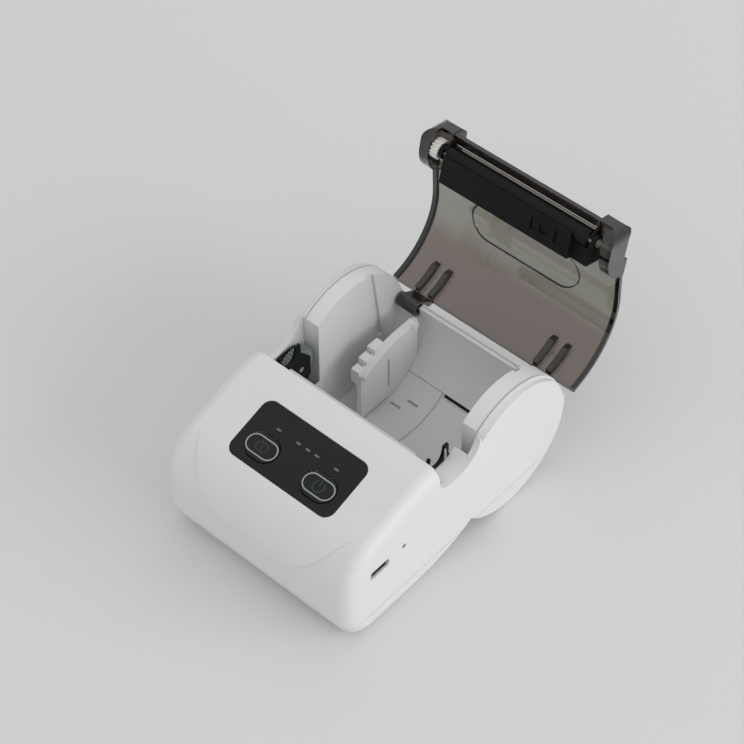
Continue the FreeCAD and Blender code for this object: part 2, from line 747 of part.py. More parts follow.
def indicator_leds():
    return Part.makeCompound([
        on_panel(box(x - 0.8, x + 0.8, lamp_s - 0.4, lamp_s + 0.4, -6.75, -6.15)) for x in lamp_x
    ])


def indicator_windows():
    """Light guides that end flush in the label."""
    guides = [obround(lamp_size[0], lamp_size[1], x, lamp_s, -5.9, 0.02) for x in lamp_x]
    return Part.makeCompound([on_panel(g) for g in guides])


def control_overlay():
    plate = rounded_plate(panel_size[0], panel_size[1], panel_round, 0.02 - label_thick, 0.0)
    cuts = [obround(key_size[0] + 2 * key_gap, key_size[1] + 2 * key_gap, side * key_x, key_s, -2, 3)
            for side in (-1, 1)]
    cuts += [obround(lamp_size[0] + 0.1, lamp_size[1] + 0.1, x, lamp_s, -2, 3) for x in lamp_x]
    return on_panel(plate.cut(cuts))


def main_board():
    board = box(-34.0, 35.0, -48.0, -27.0, 24.0, 25.5)
    notches = [Part.makeCylinder(3.4, 5, v(x, y, 22)) for x, y in screw_spots() if y < 0]
    chips = [box(-12, -4, -44, -36, 25.4, 26.8), box(6, 16, -42, -35, 25.4, 26.6),
             box(-26, -20, -36, -30, 25.4, 28.0)]
    return join([board.cut(notches)] + chips)


def data_socket():
    """Metal receptacle with its tongue, set in the right wall."""
    x0 = half_width - 6.4
    x1 = half_width - 0.5
    shell = rounded_plate(socket_size[0], socket_size[1], 0.9, 0, x1 - x0)
    core = rounded_plate(socket_size[0] - 0.8, socket_size[1] - 0.8, 0.6, 1.0, 20)
    tongue = Part.makeBox(5.0, 0.6, 4.0, v(-2.5, -0.1, 0.5))
    solid = join([shell.cut(core), tongue])
    solid.rotate(v(0, 0, 0), v(0, 0, 1), 90)
    solid.rotate(v(0, 0, 0), v(0, 1, 0), 90)
    solid.translate(v(x0, socket_y, socket_z))
    return solid


def screws():
    bodies = []
    for x, y in screw_spots():
        shank = Part.makeCylinder(1.2, 12.0, v(x, y, 2.5))
        head = Part.makeCylinder(2.0, 1.6, v(x, y, 1.35))
        drive = box(x - 1.3, x + 1.3, y - 0.3, y + 0.3, 1.0, 2.0)
        bodies.append(join([shank, head]).cut(drive))
    return Part.makeCompound(bodies)


def battery_pack():
    cell = box(-24.5, 24.5, -43.0, -22.2, 3.6, 12.6)
    return cell.makeFillet(2.2, [e for e in cell.Edges if abs(e.Vertexes[0].X - e.Vertexes[1].X) > 40])


def hinge_pins():
    return Part.makeCompound([
        rod(min(x), max(x), (hinge_y, hinge_z), axle_radius)
        for x in ((-hinge_pin_end, -knuckle_in - 0.4), (knuckle_in + 0.4, hinge_pin_end))
    ])


def gear_shafts():
    return Part.makeCompound([rod(-37.0, -plate_in, at, axle_radius) for at in gear_axles()])


def build():
    body = body_solid()
    shell = hollow(body)
    at = (platen_y, platen_z)
    idler, drive = gear_axles()
    fixed = {
        "upper_housing": upper_housing(shell),
        "lower_housing": lower_housing(shell),
        "battery_cover": battery_cover(body),
        "battery_pack": battery_pack(),
        "control_overlay": control_overlay(),
        "indicator_windows": indicator_windows(),
        "indicator_leds": indicator_leds(),
        "key_board": key_board(),
        "key_switches": key_switches(),
        "feed_button": key(-1),
        "power_button": key(1),
        "main_board": main_board(),
        "data_socket": data_socket(),
        "charge_lamp": rod(half_width - 3.6, half_width - 0.05, (charge_y, charge_z), 0.75),
        "housing_screws": screws(),
        "roll_divider": roll_divider(),
        "hinge_pins": hinge_pins(),
        "mechanism_frame": mechanism_frame(),
        "gear_guard": gear_guard(),
        "heat_sink": heat_sink(),
        "print_head": box(-26.0, 26.0, head_y[0], head_y[1], 32.0, 43.4),
        "head_pivot_pin": rod(-31.6, 31.6, head_pivot, axle_radius),
        "head_springs": Part.makeCompound([head_spring(x) for x in (-spring_x, spring_x)]),
        "tear_bar": tear_bar(),
        "stepper_motor": stepper_motor(),
        "motor_pinion": motor_pinion(),
        "idler_gear": gear(idler_teeth, idler, axle_radius + running_gap, gear_left, gear_right,
                           idler_phase()),
        "drive_gear": gear(drive_teeth, drive, axle_radius + running_gap, gear_left, gear_right,
                           idler_bearing),
        "gear_shafts": gear_shafts(),
    }
    moving = {
        "lid": lid(),
        "platen_holder": platen_holder(),
        "platen_bushings": platen_bushings(),
        "platen_roller": tube(-roller_half, roller_half, at, platen_radius, shaft_radius),
        "platen_shaft": rod(gear_left - 0.3, 31.8, at, shaft_radius),
        "platen_gear": gear(platen_teeth, at, shaft_radius, gear_left, gear_right),
    }
    os.makedirs("parts", exist_ok=True)
    nodes = dict(fixed)
    for name, shape in moving.items():
        nodes[name] = opened(shape)
    for name, shape in nodes.items():
        shape.translate(v(0, -origin_y, 0))
        shape.exportStep("parts/" + name + ".step")


build()
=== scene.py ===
"""Portable receipt printer with its smoke lid standing open: finishes, printed marks, trim and stage."""

import logging
import math
from dataclasses import dataclass
from enum import Enum

import bpy
from mathutils import Matrix, Vector


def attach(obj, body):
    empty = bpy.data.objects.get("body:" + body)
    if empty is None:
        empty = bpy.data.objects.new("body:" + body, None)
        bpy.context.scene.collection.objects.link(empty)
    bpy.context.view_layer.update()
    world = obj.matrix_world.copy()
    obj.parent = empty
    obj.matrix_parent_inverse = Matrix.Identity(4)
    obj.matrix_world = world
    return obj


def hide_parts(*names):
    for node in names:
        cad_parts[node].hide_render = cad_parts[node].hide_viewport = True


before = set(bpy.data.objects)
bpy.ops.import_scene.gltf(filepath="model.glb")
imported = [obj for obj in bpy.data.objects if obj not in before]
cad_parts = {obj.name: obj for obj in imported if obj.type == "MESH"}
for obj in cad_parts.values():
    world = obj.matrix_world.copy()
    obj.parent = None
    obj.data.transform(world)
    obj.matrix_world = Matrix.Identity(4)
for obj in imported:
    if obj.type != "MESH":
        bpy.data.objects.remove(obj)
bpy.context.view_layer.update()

LOG = logging.getLogger("receipt_printer")

# Sizes are in millimetres and angles in degrees, unless a docstring says otherwise.
MM = 0.001
IMAGE_SIDE = 744
SENSOR_MM = 36.0
LID_SWING = 101.5

Point = tuple[float, float, float]
Flat = tuple[float, float]

LID_HINGE_MM: Flat = (83.0, 29.1)
DRUM_MM: Flat = (59.6, 26.0)
AS_DRAWN = Matrix.Identity(4).freeze()

# Sockets of a Mix node that blends colours
MIX_SHARE = 0
MIX_FIRST = 6
MIX_SECOND = 7
MIX_RESULT = 2


class Body(str, Enum):
    """Bodies of the frame that carry added pieces."""

    HOUSING = "housing"
    LID = "lid"
    FEED_KEY = "feed_key"
    POWER_KEY = "power_key"


class Along(Enum):
    """Axis that a drawn or brushed grain runs along."""

    X = (1.0, 0.0, 0.0)
    Z = (0.0, 0.0, 1.0)


def linear(colour: str) -> tuple[float, float, float, float]:
    """Turns an sRGB hex colour into linear RGBA.

    Args:
        colour: Six hex digits after a hash.

    Returns:
        Linear red, green, blue and an alpha of one.
    """
    parts = [int(colour[i:i + 2], 16) / 255 for i in (1, 3, 5)]
    light = [p / 12.92 if p <= 0.04045 else ((p + 0.055) / 1.055) ** 2.4 for p in parts]
    return light[0], light[1], light[2], 1.0


def per_metre(size_mm: float) -> float:
    """Texture scale whose features are size_mm across."""
    return 1.0 / (size_mm * MM)


def add_node(tree: bpy.types.NodeTree, kind: str, settings: dict | None = None,
             links: dict | None = None) -> bpy.types.Node:
    """Adds one node with its settings and links.

    Args:
        tree: Node tree that takes the node.
        kind: Type name of the node.
        settings: Properties or input sockets with their values.
        links: Input sockets with the output sockets that feed them.

    Returns:
        The new node.
    """
    made = tree.nodes.new(kind)
    for key, value in (settings or {}).items():
        if isinstance(key, str) and hasattr(made, key):
            setattr(made, key, value)
        else:
            made.inputs[key].default_value = value
    for key, output in (links or {}).items():
        tree.links.new(output, made.inputs[key])
    return made


def noise(tree: bpy.types.NodeTree, place: bpy.types.NodeSocket, size_mm: float,
          detail: float) -> bpy.types.NodeSocket:
    """Adds noise.

    Args:
        tree: Node tree that takes it.
        place: Coordinates in metres.
        size_mm: Millimetres across its features.
        detail: Finer layers in it.

    Returns:
        Its value.
    """
    made = add_node(tree, "ShaderNodeTexNoise", {"Scale": per_metre(size_mm), "Detail": detail},
                    {"Vector": place})
    return made.outputs[0]


def blend(tree: bpy.types.NodeTree, colour: str | bpy.types.NodeSocket, shade: str,
          share: bpy.types.NodeSocket) -> bpy.types.NodeSocket:
    """Blends two colours.

    Args:
        tree: Node tree that takes the blend.
        colour: Colour where the share is nought, written out or from another blend.
        shade: Colour where the share is one.
        share: Share of the second colour.

    Returns:
        The blended colour.
    """
    made = add_node(tree, "ShaderNodeMix", {"data_type": "RGBA", MIX_SECOND: linear(shade)},
                    {MIX_SHARE: share})
    if isinstance(colour, str):
        made.inputs[MIX_FIRST].default_value = linear(colour)
    else:
        tree.links.new(colour, made.inputs[MIX_FIRST])
    return made.outputs[MIX_RESULT]


def between(tree: bpy.types.NodeTree, low: float, high: float,
            share: bpy.types.NodeSocket) -> bpy.types.NodeSocket:
    """Runs from one number to another.

    Args:
        tree: Node tree that takes it.
        low: Number where the share is nought.
        high: Number where it is one.
        share: How far it has run.

    Returns:
        The number in between.
    """
    return add_node(tree, "ShaderNodeMapRange", {"To Min": low, "To Max": high}, {"Value": share}).outputs[0]


def ramp(tree: bpy.types.NodeTree, value: bpy.types.NodeSocket, nought_mm: float,
         one_mm: float) -> bpy.types.NodeSocket:
    """Adds a mask that rises between two places.

    Args:
        tree: Node tree that takes it.
        value: Place in metres.
        nought_mm: Millimetres where the mask is nought.
        one_mm: Millimetres where it is one.

    Returns:
        The mask.
    """
    ends = {"From Min": nought_mm * MM, "From Max": one_mm * MM}
    return add_node(tree, "ShaderNodeMapRange", ends, {"Value": value}).outputs[0]


def pick(tree: bpy.types.NodeTree, operation: str, *values: bpy.types.NodeSocket) -> bpy.types.NodeSocket:
    """Works out one value from one or two others.

    Args:
        tree: Node tree that takes the node.
        operation: What the Math node does.
        values: What it works on.

    Returns:
        The result.
    """
    return add_node(tree, "ShaderNodeMath", {"operation": operation}, dict(enumerate(values))).outputs[0]


def blank_material(name: str) -> tuple[bpy.types.Material, bpy.types.Node]:
    """Starts a material.

    Args:
        name: Name of the finish.

    Returns:
        The material and its Principled surface, linked to the output.
    """
    material = bpy.data.materials.new(name)
    material.use_nodes = True
    tree = material.node_tree
    tree.nodes.clear()
    surface = add_node(tree, "ShaderNodeBsdfPrincipled")
    add_node(tree, "ShaderNodeOutputMaterial", links={"Surface": surface.outputs[0]})
    return material, surface


@dataclass(frozen=True)
class MouldedPlastic:
    """Opaque plastic, or film, ink, rubber or glaze like it: an even sheen, broken by a fine grain."""

    name: str
    colour: str
    shade: str
    roughness: float = 0.5
    spread: float = 0.06
    grain_mm: float = 0.5
    depth_mm: float = 0.006
    cloud_mm: float = 16.0
    ior: float = 1.53
    edge_mm: float = 0.0
    specular: float = 0.5

    def material(self) -> bpy.types.Material:
        """Builds the finish.

        Returns:
            The material.
        """
        material, surface = blank_material(self.name)
        tree = material.node_tree
        place = add_node(tree, "ShaderNodeTexCoord").outputs["Object"]
        tone = blend(tree, self.colour, self.shade, noise(tree, place, self.cloud_mm, 3.0))
        grain = noise(tree, place, self.grain_mm, 2.0)
        gloss = between(tree, self.roughness - self.spread, self.roughness + self.spread, grain)
        relief = add_node(tree, "ShaderNodeBump", {"Strength": 1.0, "Distance": self.depth_mm * MM},
                          {"Height": grain})
        if self.edge_mm:
            rounded = add_node(tree, "ShaderNodeBevel", {"samples": 4, "Radius": self.edge_mm * MM})
            tree.links.new(rounded.outputs[0], relief.inputs["Normal"])
        surface.inputs["IOR"].default_value = self.ior
        surface.inputs["Specular IOR Level"].default_value = self.specular
        tree.links.new(tone, surface.inputs["Base Color"])
        tree.links.new(gloss, surface.inputs["Roughness"])
        tree.links.new(relief.outputs[0], surface.inputs["Normal"])
        return material


@dataclass(frozen=True)
class TintedPolycarbonate:
    """Polished polycarbonate with a smoke tint in its mass: walls glow, deep sections go nearly black."""

    name: str
    colour: str
    shade: str
    # Lighter, greenish colour over the flat front: a painted reflection.
    painted_reflection_colour: str
    # Darker colour of the hoods and the hatched band: partly their own deeper tint, partly painted shade
    # inside the hood cups.
    hood_and_painted_shade_colour: str
    deep_colour: str
    mass_colour: str
    density_per_mm: float
    skirt_from_mm: float
    rib_radius_mm: float
    hood_mm: Flat
    edge_mm: float
    band_mm: float
    # Places along the shut lid where the painted reflection on the front is nought and where it is full.
    painted_reflection_mm: Flat
    fade_mm: float = 0.2
    skirt_fade_mm: float = 0.25
    rib_fade_mm: float = 0.15
    roughness: float = 0.05
    spread: float = 0.5
    haze_mm: float = 9.0
    ior: float = 1.585
    coat: float = 0.7
    coat_roughness: float = 0.04

    def sections(self, tree: bpy.types.NodeTree, place: bpy.types.NodeSocket) -> list[bpy.types.NodeSocket]:
        """Finds the lid's sections by their place on the shut lid.

        Args:
            tree: Node tree of the material.
            place: Object coordinates.

        Returns:
            Masks of the thin flat front, which takes a painted reflection; of the hoods with the hatched
            band between them, whose darker colour is partly painted shade; and of the deep skirts, ribs and
            free edge.
        """
        turn = math.radians(LID_SWING)
        pivot = Vector((0.0, *LID_HINGE_MM)) * MM
        shut = add_node(tree, "ShaderNodeMapping", {
            "Location": pivot - Matrix.Rotation(turn, 3, "X") @ pivot, "Rotation": (turn, 0.0, 0.0)},
            {"Vector": place}).outputs[0]
        across, along, _ = add_node(tree, "ShaderNodeSeparateXYZ", links={"Vector": shut}).outputs
        reach = pick(tree, "ABSOLUTE", across)
        drum = add_node(tree, "ShaderNodeMapping", {
            "Location": Vector((0.0, *DRUM_MM)) * -MM, "Scale": (0.0, 1.0, 1.0)}, {"Vector": shut})
        length = add_node(tree, "ShaderNodeVectorMath", {"operation": "LENGTH"}, {0: drum.outputs[0]})
        hood_side, hood_rear = self.hood_mm
        # Mask of the flat front, which takes the painted reflection.
        flat = ramp(tree, along, *self.painted_reflection_mm)
        hood = pick(tree, "MINIMUM", ramp(tree, reach, hood_side - self.fade_mm, hood_side),
                    ramp(tree, along, hood_rear, hood_rear - self.fade_mm))
        band = ramp(tree, along, self.band_mm, self.band_mm - self.fade_mm)
        skirt = ramp(tree, reach, self.skirt_from_mm - self.skirt_fade_mm, self.skirt_from_mm)
        edge = ramp(tree, along, self.edge_mm, self.edge_mm - self.fade_mm)
        rib = ramp(tree, length.outputs["Value"], self.rib_radius_mm, self.rib_radius_mm - self.rib_fade_mm)
        dark = pick(tree, "MAXIMUM", skirt, pick(tree, "MAXIMUM", edge, rib))
        return [flat, pick(tree, "MAXIMUM", hood, band), pick(tree, "SUBTRACT", dark, hood)]

    def material(self) -> bpy.types.Material:
        """Builds the finish.

        Returns:
            The material.
        """
        material, surface = blank_material(self.name)
        tree = material.node_tree
        place = add_node(tree, "ShaderNodeTexCoord").outputs["Object"]
        haze = noise(tree, place, self.haze_mm, 2.0)
        tone = blend(tree, self.colour, self.shade, haze)
        # In order: the painted reflection on the flat front, the hoods' darker colour with painted shade,
        # and the dark tint of deep sections.
        tints_and_painted_light = (self.painted_reflection_colour, self.hood_and_painted_shade_colour, self.deep_colour)
        for tint, mask in zip(tints_and_painted_light, self.sections(tree, place)):
            tone = blend(tree, tone, tint, mask)
        gloss = between(tree, self.roughness * (1 - self.spread), self.roughness * (1 + self.spread), haze)
        surface.inputs["IOR"].default_value = self.ior
        surface.inputs["Transmission Weight"].default_value = 1.0
        surface.inputs["Coat Weight"].default_value = self.coat
        surface.inputs["Coat Roughness"].default_value = self.coat_roughness
        tree.links.new(tone, surface.inputs["Base Color"])
        tree.links.new(gloss, surface.inputs["Roughness"])
        mass = add_node(tree, "ShaderNodeVolumeAbsorption",
                        {"Color": linear(self.mass_colour), "Density": self.density_per_mm / MM})
        output = next(n for n in tree.nodes if n.type == "OUTPUT_MATERIAL")
        tree.links.new(mass.outputs[0], output.inputs["Volume"])
        return material


@dataclass(frozen=True)
class WorkedMetal:
    """Metal with fine lines from drawing, rolling or extrusion, and small changes of tone."""

    name: str
    colour: str
    shade: str
    roughness: float
    along: Along = Along.X
    line_mm: float = 0.35
    run_mm: float = 12.0
    depth_mm: float = 0.004
    spread: float = 0.2

    def material(self) -> bpy.types.Material:
        """Builds the finish.

        Returns:
            The material.
        """
        material, surface = blank_material(self.name)
        tree = material.node_tree
        place = add_node(tree, "ShaderNodeTexCoord").outputs["Object"]
        scales = [per_metre(self.run_mm if axis else self.line_mm) for axis in self.along.value]
        drawn = add_node(tree, "ShaderNodeMapping", {"Scale": scales}, {"Vector": place})
        lines = add_node(tree, "ShaderNodeTexNoise", {"Scale": 1.0, "Detail": 3.0},
                         {"Vector": drawn.outputs[0]}).outputs[0]
        tone = blend(tree, self.colour, self.shade, lines)
        gloss = between(tree, self.roughness * (1 - self.spread), self.roughness * (1 + self.spread), lines)
        relief = add_node(tree, "ShaderNodeBump", {"Strength": 1.0, "Distance": self.depth_mm * MM},
                          {"Height": lines})
        surface.inputs["Metallic"].default_value = 1.0
        tree.links.new(tone, surface.inputs["Base Color"])
        tree.links.new(gloss, surface.inputs["Roughness"])
        tree.links.new(relief.outputs[0], surface.inputs["Normal"])
        return material


class Finishes:
    """Every finish of the printer, made once."""

    def __init__(self) -> None:
        """Builds the materials."""
        plastics = (
            # Moulded ABS, bright white, with a fine satin spark texture and softly rounded edges.
            MouldedPlastic("moulded_white_abs", "#E6E6E5", "#E1E2E2", roughness=0.46, spread=0.05,
                           grain_mm=0.6, depth_mm=0.004, edge_mm=0.35),
            # Polyester film printed black on its back: smooth, a little softer than gloss.
            MouldedPlastic("black_polyester_film", "#1D1D1E", "#191919", roughness=0.42, grain_mm=0.4,
                           depth_mm=0.003, specular=0.3),
            # Moulded ABS key caps: black and satin, a shade lighter than the film.
            MouldedPlastic("black_abs_keys", "#1F1F20", "#1A1A1B", roughness=0.46, grain_mm=0.4,
                           depth_mm=0.003, edge_mm=0.25, specular=0.3),
            # Glass-filled nylon: matt black with a slightly mottled skin.
            MouldedPlastic("black_glass_filled_nylon", "#0F0F10", "#0A0A0B", roughness=0.6, spread=0.1,
                           grain_mm=0.45, depth_mm=0.012, cloud_mm=6.0, edge_mm=0.15, specular=0.22),
            # Acetal gears, white on the roller and grey in the train: slippery, faintly waxy.
            MouldedPlastic("white_acetal", "#EDEDE9", "#E4E4DE", roughness=0.4, depth_mm=0.004,
                           cloud_mm=5.0, ior=1.48),
            MouldedPlastic("grey_acetal", "#87928E", "#78837F", roughness=0.4, depth_mm=0.004,
                           cloud_mm=5.0, ior=1.48),
            # Ground rubber sleeve: black, with a faint silky line of light along it.
            MouldedPlastic("ground_black_rubber", "#0E0E0F", "#09090A", roughness=0.42, grain_mm=0.35,
                           cloud_mm=8.0, specular=0.25),
            # Frosted light guides that end in the panel: dull grey while the lamps are off.
            MouldedPlastic("frosted_light_guide", "#727476", "#66686A", roughness=0.3, spread=0.05,
                           depth_mm=0.002, cloud_mm=3.0),
            # Screen-printing inks: thin, even and a little chalky.
            *(MouldedPlastic(name, colour, shade, roughness=0.5, spread=0.05, grain_mm=0.3, depth_mm=0.002,
                             cloud_mm=3.0)
              for name, colour, shade in (("light_grey_ink", "#A9AAAA", "#9D9E9E"),
                                          ("dark_green_ink", "#23452A", "#1E3B24"),
                                          ("dark_grey_ink", "#303131", "#2A2B2B"))),
            # Matt paint in the lid's pressed outline: darker than the tint round it.
            MouldedPlastic("smoke_grey_paint", "#2B2826", "#24211F", roughness=0.6, grain_mm=0.3,
                           depth_mm=0.004, cloud_mm=3.0),
            # Solder resist over the boards: deep green, with the weave of the board showing faintly.
            MouldedPlastic("green_solder_resist", "#1F5A36", "#18492B", roughness=0.35, grain_mm=0.8,
                           depth_mm=0.01, cloud_mm=2.5),
            # Shrink wrap of the battery: glossy blue film, a little wrinkled.
            MouldedPlastic("blue_shrink_wrap", "#2C3E7A", "#263568", roughness=0.3, spread=0.08,
                           grain_mm=4.0, depth_mm=0.05, cloud_mm=9.0),
            # Glazed alumina of the print head: pale grey and glassy.
            MouldedPlastic("glazed_alumina", "#D2D2D2", "#C8C9C9", roughness=0.2, spread=0.05, grain_mm=0.8,
                           depth_mm=0.004, cloud_mm=4.0, ior=1.6),
            # Epoxy of the lamps: pale straw and smooth.
            MouldedPlastic("clear_lamp_epoxy", "#E0DDC8", "#D6D2B8", roughness=0.2, spread=0.05,
                           depth_mm=0.002, cloud_mm=2.0),
        )
        metals = (
            # Bright nickel over drawn steel: clear reflections, drawn out a little across the pins.
            WorkedMetal("nickel_plated_steel", "#C9C9C8", "#B9B9B9", 0.28),
            # Zinc over cold-headed steel: bluish and a little cloudy.
            WorkedMetal("zinc_plated_steel", "#B4B6B8", "#A3A5A8", 0.36, Along.Z),
            # Rolled spring strip: plain grey steel with lines from the rolls.
            WorkedMetal("rolled_spring_steel", "#B2B3B5", "#9E9FA2", 0.3),
            # Extruded aluminium: pale and soft, with die lines along its length.
            WorkedMetal("extruded_aluminium", "#CFD0D1", "#BDBFC1", 0.42),
            # Thin gold over the socket's contacts: warm and bright.
            WorkedMetal("gold_plated_contact", "#D9B25A", "#C9A04B", 0.25),
        )
        # Hard-coated polycarbonate: brown-grey and glossy, nearly black where the section is deep. A
        # lighter, greenish colour over the flat front is a painted reflection, and the hoods' darker colour
        # is partly their double wall, partly painted shade inside the cups.
        smoke = TintedPolycarbonate(
            "smoke_polycarbonate", colour="#C7BDB6", shade="#BFB5AD", painted_reflection_colour="#EFF6EC",
            hood_and_painted_shade_colour="#7D756F", deep_colour="#2C2927", mass_colour="#8C786C", density_per_mm=0.62,
            skirt_from_mm=36.7, rib_radius_mm=25.45, hood_mm=(28.6, 35.2), edge_mm=24.6, band_mm=28.6,
            painted_reflection_mm=(70.0, 61.0))
        self.by_name = {f.name: f.material() for f in (*plastics, *metals, smoke)}

    def __getitem__(self, name: str) -> bpy.types.Material:
        """The material of that name."""
        return self.by_name[name]


def dress(finish: bpy.types.Material, *nodes: str) -> None:
    """Gives CAD nodes their finish.

    Args:
        finish: Finish of all their faces.
        nodes: Names of the nodes.
    """
    for node in nodes:
        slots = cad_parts[node].data.materials
        slots.clear()
        slots.append(finish)
        LOG.info("dressed %s in %s", node, finish.name)


def settle(piece: bpy.types.Object, body: Body, slot: str, *stands_for: str) -> None:
    """Puts a finished piece on its body.

    Args:
        piece: The piece, in place and at rest.
        body: Body that it moves with.
        slot: Name of its finish's slot; not used.
        stands_for: CAD nodes that it is shown instead of.
    """
    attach(piece, body.value)
    if stands_for:
        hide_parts(*stands_for)
    LOG.info("added %s to %s, %d faces", piece.name, body.value, len(piece.data.polygons))


def new_piece(name: str, points: list[Point], faces: list[tuple[int, ...]],
              finish: bpy.types.Material) -> bpy.types.Object:
    """Makes a mesh piece.

    Args:
        name: Name of the piece.
        points: Corners in metres, in the frame.
        faces: Corner numbers of each face.
        finish: Material of all faces.

    Returns:
        The new object, at the origin.
    """
    mesh = bpy.data.meshes.new(name)
    mesh.from_pydata(points, [], faces)
    mesh.materials.append(finish)
    piece = bpy.data.objects.new(name, mesh)
    bpy.context.scene.collection.objects.link(piece)
    return piece


def prism(name: str, section: tuple[Flat, ...], ends: Flat, finish: bpy.types.Material,
          place: Matrix = AS_DRAWN) -> bpy.types.Object:
    """Makes a bar along X.

    Args:
        name: Name of the piece.
        section: Corners of its section (Y, Z) in millimetres, turning left as seen from the right.
        ends: Its left and right end in millimetres.
        finish: Material of all faces.
        place: Carries it into the frame.

    Returns:
        The new object.
    """
    count = len(section)
    points = [tuple(place @ (Vector((x, y, z)) * MM)) for x in ends for y, z in section]
    faces = [tuple(reversed(range(count))), tuple(range(count, 2 * count))]
    for corner in range(count):
        after = (corner + 1) % count
        faces.append((corner, after, count + after, count + corner))
    return new_piece(name, points, faces, finish)


def strip_faces(count: int, closed: bool, first: int = 0) -> list[tuple[int, ...]]:
    """Faces of a bar with a four-cornered section that runs along a line.

    Args:
        count: Points along the line.
        closed: Whether the line comes back to its start.
        first: Number of the bar's first corner.

    Returns:
        Faces over corners that lie in four rows: inner top, outer top, outer bottom, inner bottom.
    """
    faces = []
    for index in range(count if closed else count - 1):
        after = (index + 1) % count
        for row in range(4):
            this, other = row * count, (row + 1) % 4 * count
            faces.append((this + index, other + index, other + after, this + after))
    if not closed:
        faces.append(tuple(row * count for row in (3, 2, 1, 0)))
        faces.append(tuple(row * count + count - 1 for row in range(4)))
    return [tuple(first + corner for corner in face) for face in faces]


def obround_line(length: float, width: float, steps: int = 24) -> list[Flat]:
    """Points round a bar with half-round ends, turning left."""
    radius, reach = width / 2, (length - width) / 2
    points = []
    for side, start in ((1, -90), (-1, 90)):
        for step in range(steps + 1):
            turn = math.radians(start + 180 * step / steps)
            points.append((side * reach + radius * math.cos(turn), radius * math.sin(turn)))
    return points


class GrowthTree:
    """Geometry Nodes tree with named sizes that ends in Realize Instances and Set Material."""

    KINDS = {float: "NodeSocketFloat", int: "NodeSocketInt", tuple: "NodeSocketVector"}

    def __init__(self, name: str, sizes: dict[str, float | int | Point]) -> None:
        """Starts the tree.

        Args:
            name: Name of the tree.
            sizes: Named inputs with their values, in metres or radians.
        """
        self.tree = bpy.data.node_groups.new(name, "GeometryNodeTree")
        self.sizes = sizes
        sockets = self.tree.interface
        sockets.new_socket("Spots", in_out="INPUT", socket_type="NodeSocketGeometry")
        for label, value in sizes.items():
            sockets.new_socket(label, in_out="INPUT", socket_type=self.KINDS[type(value)])
        sockets.new_socket("Finish", in_out="INPUT", socket_type="NodeSocketMaterial")
        sockets.new_socket("Pieces", in_out="OUTPUT", socket_type="NodeSocketGeometry")
        self.given = self.add("NodeGroupInput").outputs

    def add(self, kind: str, settings: dict | None = None, links: dict | None = None) -> bpy.types.Node:
        """Adds a node to this tree."""
        return add_node(self.tree, kind, settings, links)

    def spread(self, shape: bpy.types.NodeSocket) -> None:
        """Sets one shape on every spot and closes the tree.

        Args:
            shape: Geometry that repeats.
        """
        dots = self.add("GeometryNodeMeshToPoints", links={"Mesh": self.given["Spots"]})
        copies = self.add("GeometryNodeInstanceOnPoints",
                          links={"Points": dots.outputs[0], "Instance": shape})
        real = self.add("GeometryNodeRealizeInstances", links={"Geometry": copies.outputs[0]})
        painted = self.add("GeometryNodeSetMaterial",
                           links={"Geometry": real.outputs[0], "Material": self.given["Finish"]})
        self.add("NodeGroupOutput", links={0: painted.outputs[0]})

    def grow(self, name: str, spots: list[Point], finish: bpy.types.Material,
             place: Matrix = AS_DRAWN) -> bpy.types.Object:
        """Runs the tree and keeps its result as a plain mesh.

        Args:
            name: Name of the piece.
            spots: Points that the shape repeats on, in metres.
            finish: Material of the piece.
            place: Carries the result into the frame.

        Returns:
            The piece, without its modifier.
        """
        piece = new_piece(name, spots, [], finish)
        modifier = piece.modifiers.new("growth", "NODES")
        modifier.node_group = self.tree
        for socket in self.tree.interface.items_tree:
            if socket.in_out == "INPUT" and socket.name in self.sizes:
                modifier[socket.identifier] = self.sizes[socket.name]
            elif socket.name == "Finish":
                modifier[socket.identifier] = finish
        evaluated = piece.evaluated_get(bpy.context.evaluated_depsgraph_get())
        grown = bpy.data.meshes.new_from_object(evaluated)
        piece.modifiers.remove(modifier)
        grown.transform(place)
        piece.data = grown
        return piece


